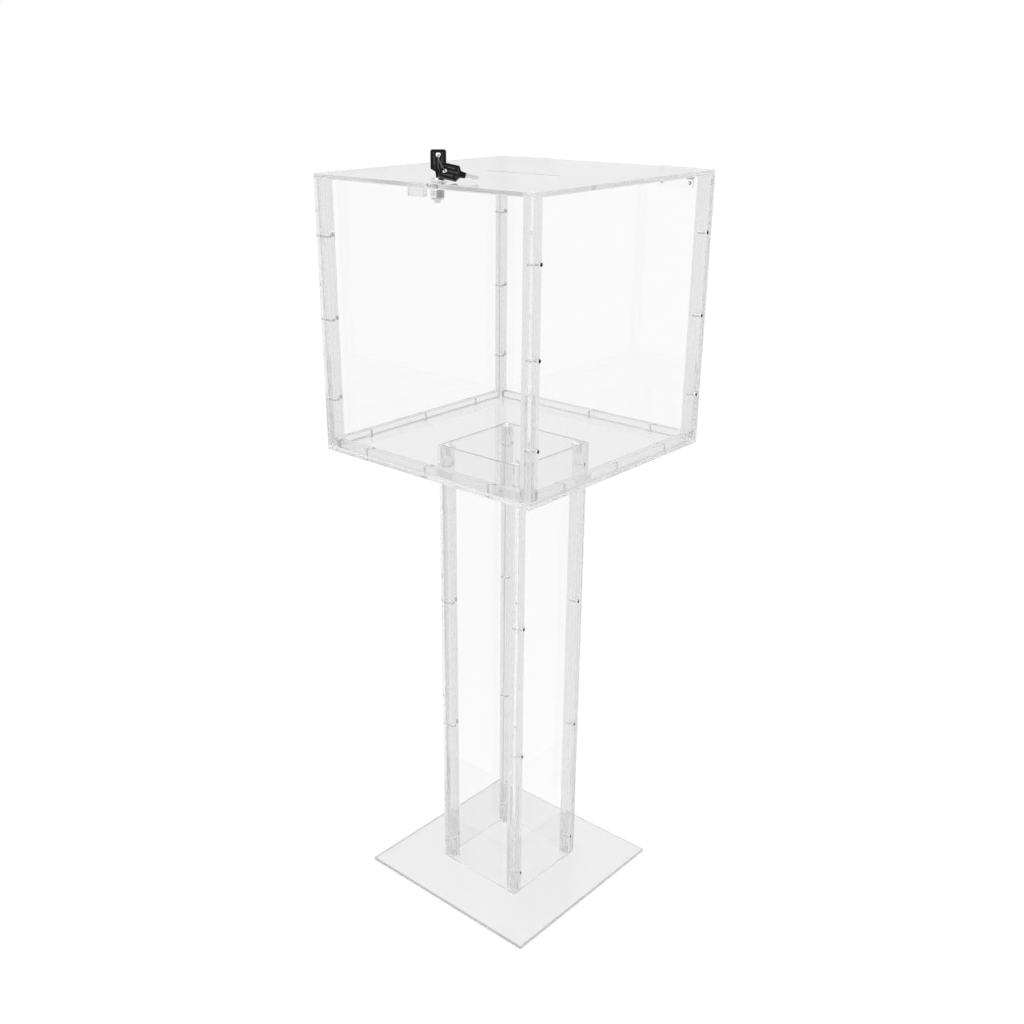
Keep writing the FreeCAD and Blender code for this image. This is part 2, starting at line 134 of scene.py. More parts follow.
def turned(profile, steps):
    """A lathe surface: each profile point (radius, height) swept round z in equal steps."""
    profile = np.asarray(profile, dtype=float)
    return around_z(profile[:, :1], profile[:, 1:], full_turn(steps)), tube_faces(len(profile), steps)


def corner_circles(half_x, half_y, radius, steps):
    """The corner centres of a rectangle with corners of one radius, and the angles round each."""
    quarter = np.linspace(0, np.pi / 2, steps + 1)
    angle = np.concatenate([quarter + q * np.pi / 2 for q in range(4)])
    centre_x = np.repeat([1, -1, -1, 1], steps + 1) * (half_x - radius)
    centre_y = np.repeat([1, 1, -1, -1], steps + 1) * (half_y - radius)
    return centre_x, centre_y, angle


def slab(low, high, edge, steps=3):
    """A box with all its edges rounded.

    A point of its rim is a corner centre plus edge cos a (cos t, sin t), at the height
    of that centre plus edge sin a, with a from -90 to 90 degrees and t once round. The
    flat faces below and above lie between the four corner centres.
    """
    low = np.asarray(low, dtype=float)
    high = np.asarray(high, dtype=float)
    half = (high - low) / 2
    centre_x, centre_y, angle = corner_circles(half[0], half[1], edge, steps)
    # At a = -90 and 90 degrees a row would shrink to the corner centres, so it is left out
    quarter = np.linspace(0, np.pi / 2, steps + 1)
    rise = np.concatenate([-quarter[-2::-1], quarter[:-1]])
    lift = np.repeat([-1, 1], steps) * (half[2] - edge) + edge * np.sin(rise)
    reach = (edge * np.cos(rise))[:, None]
    x = centre_x + reach * np.cos(angle)
    y = centre_y + reach * np.sin(angle)
    rim = np.stack([x, y, np.broadcast_to(lift[:, None], x.shape)], axis=-1).reshape(-1, 3)
    corners = np.array([[1, 1], [-1, 1], [-1, -1], [1, -1]]) * (half[:2] - edge)
    bottom = np.column_stack([corners, np.full(4, -half[2])])
    top = np.column_stack([corners, np.full(4, half[2])])
    cols = len(angle)
    faces = grid_faces(len(rise), cols, False, True)
    below = len(rim)
    above = below + 4
    last = (len(rise) - 1) * cols
    faces.append((below + 3, below + 2, below + 1, below))
    faces.append((above, above + 1, above + 2, above + 3))
    for c in range(cols):
        n = (c + 1) % cols
        k, m = c // (steps + 1), n // (steps + 1)
        if k == m:
            faces.append((below + k, n, c))
            faces.append((above + k, last + c, last + n))
        else:
            faces.append((below + k, below + m, n, c))
            faces.append((above + m, above + k, last + c, last + n))
    return np.concatenate([rim, bottom, top]) + (low + high) / 2, faces


def void(radius, start, end, steps=20):
    """A closed round hole inside a clear piece: a cylinder whose faces look at its own axis."""
    start = np.asarray(start, dtype=float)
    run = np.asarray(end, dtype=float) - start
    tube = turned([(radius, 0), (radius, np.linalg.norm(run))], steps)
    return flip(placed(tube, *along(start, run)))


def step(value, low, high):
    """A smooth rise from 0 at low to 1 at high: t t (3 - 2 t)."""
    t = np.clip((value - low) / (high - low), 0, 1)
    return t * t * (3 - 2 * t)


# Materials

# No stretch, and what a lamp's light keeps of itself on its way through one face of clear plastic
EVEN = (1, 1, 1)
LAMP_SHADE = "#fefefe"


def srgb(text):
    """A hex colour as linear red, green, blue and 1."""
    part = np.array([int(text[i:i + 2], 16) / 255 for i in (1, 3, 5)])
    line = np.where(part <= 0.04045, part / 12.92, ((part + 0.055) / 1.055) ** 2.4)
    return (*line.tolist(), 1.0)


def add(tree, kind, inputs=None, **settings):
    """Adds one node: inputs are its sockets' values or links, settings its properties."""
    item = tree.nodes.new(kind)
    for key, value in settings.items():
        setattr(item, key, value)
    for key, value in (inputs or {}).items():
        socket = item.inputs[key]
        if isinstance(value, bpy.types.NodeSocket):
            tree.links.new(value, socket)
        else:
            socket.default_value = value
    return item


def new_material(name):
    """A material without nodes, and its node tree."""
    mat = bpy.data.materials.new(name)
    mat.use_nodes = True
    mat.node_tree.nodes.clear()
    return mat, mat.node_tree


def noise(tree, size_mm, detail, stretch=EVEN):
    """Noise laid out in the piece's own axes, about size_mm from crest to crest where stretch is 1."""
    place = add(tree, "ShaderNodeTexCoord")
    lay = add(tree, "ShaderNodeMapping", {"Vector": place.outputs["Object"], "Scale": stretch})
    grain = add(tree, "ShaderNodeTexNoise", {"Vector": lay.outputs["Vector"], "Scale": 1 / (size_mm * MM),
                                             "Detail": detail})
    return grain.outputs["Fac"]


def spread(tree, value, low, high):
    """The middle of a noise's range, 0.3 to 0.7, carried to low and high."""
    item = add(tree, "ShaderNodeMapRange", {"Value": value, "From Min": 0.3, "From Max": 0.7,
                                            "To Min": low, "To Max": high})
    return item.outputs["Result"]


def relief(tree, height, strength, depth_mm):
    """The bump that a height between 0 and 1 makes at a depth in millimetres."""
    item = add(tree, "ShaderNodeBump", {"Height": height, "Strength": strength, "Distance": depth_mm * MM})
    return item.outputs["Normal"]


def mixed(tree, share, first, second):
    """A colour between two others by share."""
    item = add(tree, "ShaderNodeMix", {"Factor": share, 6: first, 7: second}, data_type="RGBA")
    return item.outputs[2]


def clear_plastic(name, tint, rough, clear, streak_mm, stretch, depth, shine=0.5):
    """Acrylic at 1.49, from clear to matt white; lamps reach through it to what is behind."""
    mat, tree = new_material(name)
    wave = noise(tree, streak_mm, 2.0, stretch)
    body = add(tree, "ShaderNodeBsdfPrincipled", {"Base Color": srgb(tint), "IOR": 1.49, "Roughness": rough,
                                                  "Transmission Weight": clear, "Specular IOR Level": shine,
                                                  "Normal": relief(tree, wave, 1.0, depth)})
    lamps_pass = add(tree, "ShaderNodeBsdfTransparent", {"Color": srgb(LAMP_SHADE)})
    path = add(tree, "ShaderNodeLightPath")
    either = add(tree, "ShaderNodeMixShader", {0: path.outputs["Is Shadow Ray"], 1: body.outputs["BSDF"],
                                               2: lamps_pass.outputs["BSDF"]})
    add(tree, "ShaderNodeOutputMaterial", {"Surface": either.outputs["Shader"]})
    return mat


def metal(name, colour, low, high, grain_mm, stretch, depth):
    """A bare or plated metal: its roughness runs between two values along a drawn or cast grain."""
    mat, tree = new_material(name)
    grain = noise(tree, grain_mm, 4.0, stretch)
    body = add(tree, "ShaderNodeBsdfPrincipled", {"Base Color": srgb(colour), "Metallic": 1.0,
                                                  "Roughness": spread(tree, grain, low, high),
                                                  "Normal": relief(tree, grain, 0.4, depth)})
    add(tree, "ShaderNodeOutputMaterial", {"Surface": body.outputs["BSDF"]})
    return mat


def moulded_black(name):
    """Black moulded plastic with a fine grain, uneven in shine, with painted highlights greyed in where its
    map says so.
    """
    mat, tree = new_material(name)
    highlight_map = add(tree, "ShaderNodeUVMap", uv_map=PAINTED_HIGHLIGHT_MAP)
    highlight_share = add(tree, "ShaderNodeSeparateXYZ", {0: highlight_map.outputs["UV"]})
    grain = noise(tree, 0.5, 3.0)
    patches = noise(tree, 9, 2.0)
    black = mixed(tree, patches, srgb("#060607"), srgb("#0e0e0f"))
    # Painted highlight: the map's share greys the black towards #555557
    colour = mixed(tree, highlight_share.outputs["X"], black, srgb("#555557"))
    body = add(tree, "ShaderNodeBsdfPrincipled", {"Base Color": colour, "IOR": 1.54,
                                                  "Specular IOR Level": 0.15,
                                                  "Roughness": spread(tree, patches, 0.28, 0.42),
                                                  "Normal": relief(tree, grain, 0.3, 0.03)})
    add(tree, "ShaderNodeOutputMaterial", {"Surface": body.outputs["BSDF"]})
    return mat


# Clear plastics: tint, roughness, how clear, ripple or saw mark in mm, its stretch, its depth in mm,
# and shine where it isn't plain. A tint is what one face leaves of the light, so that a sheet's two
# faces give the sheet's own grey; a greyer tint, where noted below, is painted shade.

# Cast acrylic as it leaves the glass moulds: a faint slow ripple bends what is seen in it
sheet_face = clear_plastic("cast_acrylic_wall_polished", "#fbfbfb", 0.0, 1.0, 45, EVEN, 0.002)
# The lid's sheet has a satin surface: it shows as an even pale grey and blurs what lies far below it
lid_face = clear_plastic("cast_acrylic_lid_satin", "#fefefe", 0.12, 1.0, 45, EVEN, 0.002)
# The box's shelf is a clear sheet; its tint, a shade greyer than the walls', is painted shade for how it
# looks seen aslant
shelf_face = clear_plastic("cast_acrylic_box_floor_polished", "#f2f2f2", 0.0, 1.0, 45, EVEN, 0.002)
# The base plate is satin like the lid: it mirrors no posts, and its greyer tint is painted shade, so that it
# lies on the floor as an even grey
base_face = clear_plastic("cast_acrylic_base_satin", "#ececec", 0.25, 1.0, 45, EVEN, 0.002)
# Flame polishing leaves a wall's edge clear and slightly wavy, so light runs along it
wall_edge = clear_plastic("acrylic_wall_edge_flame_polished", "#f8f8f8", 0.12, 1.0, 0.7, EVEN, 0.01)
# Router marks a few tenths of a millimetre apart, drawn at 0.7 mm to show: a soft, broken gleam
flat_edge = clear_plastic("acrylic_flat_edge_machined", "#f6f6f6", 0.2, 1.0, 0.7, EVEN, 0.02)
# The slot is sawn and left unpolished; its grey tint is painted shade, so that it reads as a thin grey line
# in the lid
slot_edge = clear_plastic("acrylic_slot_sawn", "#d2d2d2", 0.3, 1.0, 0.7, EVEN, 0.02)
# A scraper takes the corner off by hand and leaves it matt: a thin light grey outline to each sheet
scraped = clear_plastic("acrylic_corner_scraped", "#f0f0f0", 0.5, 0.0, 0.7, EVEN, 0.02, 0.0)
# The base plate's corners are scraped too, and their darker grey is painted shade: a darker outline
base_corner = clear_plastic("acrylic_base_corner_scraped", "#b0b0b0", 0.5, 0.0, 0.7, EVEN, 0.02, 0.0)
# A bar's ends are left as the saw leaves them: matt and white, so that its foot and top stay light
sawn_end = clear_plastic("acrylic_bar_end_sawn", "#ffffff", 0.6, 0.0, 0.7, EVEN, 0.02, 0.0)
# The tap tears the hole's wall white: the screws stand in pale matt tubes inside the clear bar
tapped_hole = clear_plastic("acrylic_tapped_hole", "#ffffff", 0.6, 0.0, 0.7, EVEN, 0.02, 0.0)
# Sawn bar stock, with saw marks along its length 2.5 mm apart as on a band saw: grey streaks that
# break up what is seen through it; the upright bars, along z, get a greyer tint as painted shade
bar_face = [clear_plastic("acrylic_bar_sawn_" + "xyz"[axis], tint, 0.03, 1.0, 2.5,
                          [0.01 if n == axis else 1 for n in range(3)], 0.055)
            for axis, tint in enumerate(("#f2f2f2", "#f2f2f2", "#e5e5e5"))]
# A milled block with cutter rows 2.5 mm apart: milky, so that the cam behind it is blurred
strike_face = clear_plastic("acrylic_strike_block_milled", "#efefef", 0.2, 1.0, 2.5, EVEN, 0.04)
# Injection moulded clear hinge leaves with the slight sink marks of a moulding, 8 mm across
hinge_plastic = clear_plastic("moulded_clear_polycarbonate", "#fdfdfd", 0.0, 1.0, 8, EVEN, 0.004)

# Metals: colour, roughness from and to, grain in mm, its stretch, its depth in mm

# Bright chrome plate: a near mirror with the faint orange peel of the plating, 1.2 mm across
chrome = metal("chrome_plate_bright", "#eeeff0", 0.03, 0.07, 1.2, EVEN, 0.002)
# Pressed zinc plated steel: a dull silver with the spangle of the sheet
zinc = metal("zinc_plated_steel_pressed", "#e0e1e1", 0.28, 0.42, 0.8, EVEN, 0.01)
# Deep grey steel with a soft glint on the rounded parts: the hinge pins' steel, and painted shade over the
# cross recesses of the side screws' heads
pin_steel_and_recess_shade = metal("pin_steel_and_painted_recess_shade", "#3c3d40", 0.14, 0.26, 0.6, EVEN, 0.006)
# Bright zinc on a turned screw: nearly white, a little uneven
bright_screw = metal("zinc_plated_screw_steel", "#f4f4f4", 0.16, 0.3, 0.6, EVEN, 0.006)
# The barrel's thread and the groove round the plug: a mid grey that is painted shade and painted reflection
thread_and_groove_shade = metal("barrel_thread_and_groove_painted_shade", "#a2a2a6", 0.2, 0.35, 0.8, EVEN, 0.006)
# Nickel plated spring wire, drawn: a grey line with a thin highlight
ring_steel = metal("nickel_plated_spring_wire", "#7c7c80", 0.12, 0.22, 0.6, EVEN, 0.004)
# Nickel plated key brass, milled across the blade: a warm white with fine cutter lines
key_nickel = metal("milled_nickel_brass_key", "#fbfaf7", 0.16, 0.30, 0.25, (1, 1, 6), 0.01)

# Moulded key heads: near black, with a spark-eroded grain, and painted highlights in grey on the ribs and
# rims
black_plastic = moulded_black("moulded_black_abs")


def dress(piece, mats, body, node):
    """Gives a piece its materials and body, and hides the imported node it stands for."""
    for mat in mats:
        piece.data.materials.append(mat)
    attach(piece, body)
    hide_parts(node)


def node_box(name):
    """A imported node's lowest and highest corners in millimetres."""
    low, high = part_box(name)
    return np.array(low) / MM, np.array(high) / MM


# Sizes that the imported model's boxes don't give

# How much smaller a dressed piece is, and the radii of the broken edges of sheets and bars
SKIN, EDGE, BAR_EDGE = 0.05, 0.5, 0.4
# Posts and rails, the margins below and above the rows of side screws, and a rail's screw places
POST, RAIL = 14.0, 12.0
BOX_MARGINS, COLUMN_MARGINS, RAIL_STEPS = (73, 79), (39, 32.5), (-120.0, 0.0, 120.0)
# Screws: radius, hole, pitch, and how far they go into a post's side or its end
SCREW_R, HOLE_R, PITCH = 2.0, 2.05, 1.4
REACH, END_REACH = 16.0, 22.0
# Countersunk head: (radius, depth) from the dimple over the flat face to the end of the cone
SUNK_HEAD = ((0.3, 0.35), (1.6, 0.05), (3.9, 0.0), (1.9, 2.25))
# Pan head: radius, height and rim, then its cross: arm and span with their slopes, and depth
PAN_R, PAN_H, PAN_RIM = 3.6, 2.6, 0.25
ARM, ARM_SLOPE, SPAN, SPAN_SLOPE, CROSS_DEPTH = 0.95, 0.35, 2.2, 0.4, 1.3
# Hinges on the lid
LEAF, LEAF_DEPTH, HINGE_X, HINGE_WIDTH = 2.0, 20.0, 132.0, 60.0
# The lid's slot and its lock hole, a circle with two flats
SLOT_X, SLOT_Y, SLOT_LENGTH, SLOT_WIDTH, SLOT_CORNER = 25.0, -15.0, 134.0, 8.0, 0.8
LOCK_X, LOCK_Y, HOLE_ROUND, HOLE_FLAT = 18.0, -174.0, 9.5, 8.25
# Lock: the barrel with two flats and its thread, the plug, its rim, the body's head and the nut
BARREL_R, BARREL_FLAT, THREAD_PITCH, THREAD_DEPTH = 9.25, 8.0, 1.5, 0.45
PLUG_R, RIM_R, HEAD_R, NUT_ACROSS = 6.5, 7.8, 11.0, 22.0
# Key head with its shoulder's slope and corners, neck, ring hole, sunk ribbed grip, edge radii
HEAD_W, HEAD_LENGTH, HEAD_T, SLOPE, HEAD_CORNER = 20.5, 27.0, 5.0, 3.0, 3.0
NECK_W, NECK_LENGTH = 8.0, 7.5
HOLE_FROM_END, KEY_HOLE_R = 6.3, 3.4
PANEL_DEPTH, RIB_STEP, RIB_HEIGHT = 0.7, 5.2, 0.35
HOLE_EDGE, RIM_EDGE = 0.6, 0.9
# Key blade, with its tip, the depths of its cuts, and their first place, step, width and slope
BLADE_W, BLADE_T, BLADE_LENGTH, TIP = 6.5, 2.0, 17.2, 2.4
CUT_DEPTHS = (0.72, 1.3, 0.72, 1.3)
FIRST_CUT, CUT_STEP, CUT_HALF, CUT_SLOPE = 4.6, 3.2, 1.44, 1.05
# Ring wire, and where the spare's hole lies from the key's: outwards, aside and down
RING_WIRE = 0.7
SPARE_OFFSET, SPARE_ASIDE, SPARE_DROP = 9.4, 10.29, 19.1145
# Degrees: the key round its own length, then the spare's lean on the ring and its twist
KEY_ANGLE, SPARE_LEAN, SPARE_TWIST = 35, 12 - 90, 30


# Screws

def thread(reach):
    """A threaded shank along z from 0 to reach, with a blunt point.

    The radius is 0.78 of the screw's plus a ridge of 0.2 of it that climbs one pitch
    each turn, and narrows to a quarter over the last 0.9 of it.
    """
    rows = max(int(reach / PITCH * 5), 6)
    height = np.linspace(0, reach, rows)[:, None]
    angle = full_turn(14)
    phase = (height / PITCH - angle / (2 * np.pi)) % 1
    ridge = 1 - np.abs(2 * phase - 1)
    taper = np.clip((reach - height) / (0.9 * SCREW_R), 0.25, 1)
    radius = SCREW_R * taper * (0.78 + 0.2 * ridge)
    return around_z(radius, height, angle), tube_faces(rows, len(angle))


def pan_screw(place, inward, reach):
    """A pan head screw with a cross recess: its head and its shank, each with its faces' finish.

    Head height over radius p is the rim plus the rest times (1 - (p / PAN_R)^3)^0.5,
    lowered inside a cross where |x| or |y| is small and neither is large. The crown,
    which is the five inner rows, has finish 1 and everything else 0.
    """
    rim = np.array([0.15, 0.3, 0.45, 0.6, 0.72, 0.82, 0.9, 0.96, 0.99, 1.0])
    angle = full_turn(24)
    steps = len(angle)
    x = (PAN_R * rim)[:, None] * np.cos(angle)
    y = (PAN_R * rim)[:, None] * np.sin(angle)
    dome = PAN_RIM + (PAN_H - PAN_RIM) * np.sqrt(1 - rim ** 3)
    arm = np.clip((ARM - np.minimum(np.abs(x), np.abs(y))) / ARM_SLOPE, 0, 1)
    span = np.clip((SPAN - np.maximum(np.abs(x), np.abs(y))) / SPAN_SLOPE, 0, 1)
    rows = np.stack([x, y, dome[:, None] - CROSS_DEPTH * arm * span], axis=-1)
    seat = rows[-1] * (1, 1, 0)
    points = np.concatenate([[(0, 0, PAN_H - CROSS_DEPTH)], rows.reshape(-1, 3), seat])
    faces = [(0, 1 + i, 1 + (i + 1) % steps) for i in range(steps)]
    faces += (np.asarray(grid_faces(len(rim) + 1, steps, False, True)) + 1)[:, ::-1].tolist()
    faces.append(tuple(range(len(points) - steps, len(points)))[::-1])
    # The crown: the head's centre round its cross recess, where the side screws get painted shade
    crown = np.arange(len(faces)) < 5 * steps
    shank = thread(reach)
    return [(placed((points, faces), *along(place, -np.asarray(inward, dtype=float))), crown),
            (placed(shank, *along(place, inward)), np.zeros(len(shank[1])))]


def sunk_screw(place, inward, reach):
    """A countersunk screw: a flat head that narrows to the thread, all in finish 0."""
    return [(placed(part, *along(place, inward)), np.zeros(len(part[1])))
            for part in (turned(SUNK_HEAD, 20), thread(reach))]


# Sheets and bars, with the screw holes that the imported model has

lid_top = node_box("lid_panel")[1][2]
column_low, column_high = node_box("column_panel_left")
box_low, box_high = node_box("box_panel_left")
floor_low, floor_high = node_box("box_floor")
column_half = column_high[1]
box_half = box_high[1]
sheet = floor_high[2] - floor_low[2]


def tube_screws(half, line, low, high, margins, count):
    """Side screws of one tube, by side: the place, direction and reach of each."""
    heights = np.linspace(low + margins[0], high - margins[1], count)
    return {side: [((sign * half, s * line, z), (-sign, 0, 0), REACH) for z in heights for s in (-1, 1)]
            for sign, side in ((-1, "left"), (1, "right"))}


column_line = column_half - sheet - POST / 2
box_line = box_half - sheet - POST / 2
rail_line = box_half - sheet - RAIL / 2
column_side = tube_screws(column_half, column_line, column_low[2], column_high[2], COLUMN_MARGINS, 4)
box_side = tube_screws(box_half, box_line, box_low[2], box_high[2], BOX_MARGINS, 3)
rail_places = [(t, s * rail_line) for s in (-1, 1) for t in RAIL_STEPS]
rail_places += [(s * rail_line, t) for s in (-1, 1) for t in RAIL_STEPS]
post_places = [(sx * column_line, sy * column_line) for sx in (-1, 1) for sy in (-1, 1)]
rail_screws = [((x, y, floor_low[2]), (0, 0, 1), REACH) for x, y in rail_places]
foot_screws = [((x, y, 0), (0, 0, 1), END_REACH) for x, y in post_places]
top_screws = [((x, y, floor_high[2]), (0, 0, -1), END_REACH) for x, y in post_places]
every_screw = column_side["left"] + column_side["right"] + box_side["left"] + box_side["right"]
every_screw += rail_screws + foot_screws + top_screws


def crossing(start, inward, reach, low, high):
    """The stretch of a screw hole that lies inside a block, kept a little off its faces, or None.

    A hole counts when its line runs 1 mm or more inside the block and at least 0.5 mm of
    it is left.
    """
    start = np.asarray(start, dtype=float)
    way = np.asarray(inward, dtype=float)
    axis = int(np.argmax(np.abs(way)))
    for other in range(3):
        if other != axis and not (low[other] + 1 < start[other] < high[other] - 1):
            return None
    a, b = sorted((start[axis], start[axis] + way[axis] * reach))
    a = max(a, low[axis] + 2 * SKIN)
    b = min(b, high[axis] - 2 * SKIN)
    if b - a < 0.5:
        return None
    first = start.copy()
    last = start.copy()
    first[axis] = a
    last[axis] = b
    return first, last


def finishes_by_face(piece, axis, flat_along):
    """Each face's finish: 0 for the large faces, 1 for cut edges or ends, 2 for broken edges.

    flat_along is True where the large faces look along the axis, as on a sheet, and
    False where they run along it, as on a bar.
    """
    normal = np.zeros(len(piece.data.polygons) * 3)
    piece.data.polygons.foreach_get("normal", normal)
    normal = np.abs(normal.reshape(-1, 3))
    finish = np.where((normal[:, axis] > 0.7) == flat_along, 0, 1)
    finish[normal.max(axis=1) < 0.999] = 2
    return finish


def clear_node(name, is_sheet):
    """The stand-in for a packed sheet or bar, drilled where screws cross it.

    It is a hair smaller than its node, so that no two clear faces coincide. Its four
    materials are those of its large faces, cut ones, broken edges and holes.
    """
    low, high = node_box(name)
    size = high - low
    axis = int(np.argmin(size)) if is_sheet else int(np.argmax(size))
    outer = slab(low + SKIN, high - SKIN, EDGE if is_sheet else BAR_EDGE)
    holes = [crossing(*screw, low, high) for screw in every_screw]
    piece = mesh_piece("clear_" + name, [outer] + [void(HOLE_R, *hole) for hole in holes if hole is not None])
    finish = finishes_by_face(piece, axis, is_sheet)
    finish[len(outer[1]):] = 3
    piece.data.polygons.foreach_set("material_index", finish)
    if name == "base_plate":
        mats = (base_face, flat_edge, base_corner, tapped_hole)
    elif name == "box_floor":
        mats = (shelf_face, flat_edge, scraped, tapped_hole)
    elif is_sheet:
        mats = (sheet_face, wall_edge, scraped, tapped_hole)
    elif name == "strike_block":
        mats = (strike_face, strike_face, strike_face, tapped_hole)
    else:
        mats = (bar_face[axis], sawn_end, bar_face[axis], tapped_hole)
    dress(piece, mats, "stand", name)


for side in ("front", "back", "left", "right"):
    clear_node("column_panel_" + side, True)
    clear_node("box_panel_" + side, True)
    clear_node("floor_rail_" + side, False)
for end in ("front", "back"):
    for side in ("left", "right"):
        clear_node("column_post_" + end + "_" + side, False)
        clear_node("box_post_" + end + "_" + side, False)
clear_node("base_plate", True)
clear_node("box_floor", True)
clear_node("strike_block", False)


# The lid

def rounded_rectangle(x, y, half_x, half_y, radius, steps):
    """A rounded rectangle's points: corner centres plus radius (cos t, sin t)."""
    centre_x, centre_y, angle = corner_circles(half_x, half_y, radius, steps)
    return np.column_stack([x + centre_x + radius * np.cos(angle), y + centre_y + radius * np.sin(angle)])


def two_flats(x, y, radius, flat, steps=36):
    """A circle cut off at y = +-flat: (radius cos t, radius sin t limited to flat)."""
    t = full_turn(steps)
    return np.column_stack([x + radius * np.cos(t), y + np.clip(radius * np.sin(t), -flat, flat)])


def inset(points, amount):
    """A closed outline moved towards its inside by amount.

    Each point goes along the sum of its two edges' inward normals, divided by one
    plus their product, so that both edges move by the same amount.
    """
    edge = np.roll(points, -1, axis=0) - points
    edge = edge / np.linalg.norm(edge, axis=1)[:, None]
    normal = np.column_stack([-edge[:, 1], edge[:, 0]])
    before = np.roll(normal, 1, axis=0)
    share = 1 + (normal * before).sum(axis=1)
    return points + amount * (normal + before) / share[:, None]


def broken_edge(loop, z, at_top):
    """An outline's rows over a rounded edge and their heights, from the lowest up.

    At angle a the row lies EDGE (1 - sin a) inside the outline and EDGE (1 - cos a)
    away from the flat face at height z.
    """
    quarter = np.linspace(0, np.pi / 2, 4)
    loops = [inset(loop, amount) for amount in EDGE * (1 - np.sin(quarter))]
    away = EDGE * (1 - np.cos(quarter))
    if at_top:
        return loops[::-1], (z - away[::-1]).tolist()
    return loops, (z + away).tolist()


def filled(outer, holes, z, upward):
    """A flat face at height z inside one outline and outside others."""
    loops = [outer] + holes
    points = np.concatenate(loops)
    faces = []
    for tri in tessellate_polygon([[Vector((*p, 0)) for p in loop] for loop in loops]):
        a, b, c = (points[i] for i in tri)
        turned_up = (b[0] - a[0]) * (c[1] - a[1]) - (b[1] - a[1]) * (c[0] - a[0]) > 0
        faces.append(tuple(tri) if turned_up == upward else tuple(reversed(tri)))
    return np.column_stack([points, np.full(len(points), z)]), faces


def wall_between(loops, heights):
    """The side between outlines of equal count at rising heights, looking outwards."""
    rows = [np.column_stack([loop, np.full(len(loop), z)]) for loop, z in zip(loops, heights)]
    return np.concatenate(rows), grid_faces(len(rows), len(loops[0]), False, True)


def lid_sheet():
    """The lid with its slot, its lock hole and the pockets of the two hinge leaves.

    The plain outline is carried up to the pockets' floors and the notched one from
    there to the top; the flat faces are filled between the outlines. The slot's cut
    faces have a finish of their own, 3.
    """
    low, high = node_box("lid_panel")
    low = low + SKIN
    high = high - SKIN
    half = high[0]
    deep = box_half - LEAF_DEPTH - SKIN
    pocket_floor = high[2] - LEAF - SKIN
    full = rounded_rectangle(0, 0, half, half, EDGE, 3).tolist()
    plain, notched, floors = full[:4], full[:4], []
    for centre in (HINGE_X, -HINGE_X):
        x1, x0 = centre + HINGE_WIDTH / 2 + SKIN, centre - HINGE_WIDTH / 2 - SKIN
        plain += [[x1, half], [x0, half]]
        notched += [[x1, half], [x1, deep], [x0, deep], [x0, half]]
        floors.append(np.array([[x0, deep], [x1, deep], [x1, half], [x0, half]]))
    plain = np.array(plain + full[4:])
    notched = np.array(notched + full[4:])
    lower, lower_z = broken_edge(plain, low[2], False)
    upper, upper_z = broken_edge(notched, high[2], True)
    parts = [wall_between(lower + [plain], lower_z + [pocket_floor]),
             wall_between([notched] + upper, [pocket_floor] + upper_z)]
    parts += [filled(floor, [], pocket_floor, True) for floor in floors]
    slot_start = sum(len(faces) for _, faces in parts)
    openings = [rounded_rectangle(SLOT_X, SLOT_Y, SLOT_LENGTH / 2, SLOT_WIDTH / 2, SLOT_CORNER, 2)[::-1],
                two_flats(LOCK_X, LOCK_Y, HOLE_ROUND, HOLE_FLAT)[::-1]]
    mouths = []
    for loop in openings:
        loops, heights = broken_edge(loop, low[2], False)
        top_loops, top_heights = broken_edge(loop, high[2], True)
        parts.append(wall_between(loops + top_loops, heights + top_heights))
        mouths.append(loops[0])
    slot_end = slot_start + len(parts[-2][1])
    parts.append(filled(lower[0], mouths, low[2], False))
    parts.append(filled(upper[-1], mouths, high[2], True))
    piece = mesh_piece("clear_lid", parts)
    finish = finishes_by_face(piece, 2, True)
    slot = finish[slot_start:slot_end]
    slot[slot == 1] = 3
    piece.data.polygons.foreach_set("material_index", finish)
    dress(piece, (lid_face, flat_edge, scraped, slot_edge), "lid", "lid_panel")


lid_sheet()


# Lock

def barrel_radius(angle, height, top):
    """The barrel's radius: a thread's ridge round it, cut off by two flats, plain above top."""
    phase = (height / THREAD_PITCH - angle / (2 * np.pi)) % 1
    ridge = THREAD_DEPTH * np.abs(2 * phase - 1)
    round_part = BARREL_R - np.where(height < top, ridge, THREAD_DEPTH)
    return np.minimum(round_part, BARREL_FLAT / np.maximum(np.abs(np.sin(angle)), 0.01))


def around_lock(name, rows, angle, smooth):
    """One closed profile of rows (radius, height) swept round the lock's axis, as a piece."""
    radius = np.array([np.broadcast_to(r, angle.shape) for r, _ in rows])
    height = np.array([[z] for _, z in rows])
    verts = around_z(radius, height, angle, LOCK_X, LOCK_Y)
    return mesh_piece(name, [(verts, grid_faces(len(rows), len(angle), True, True))], smooth)


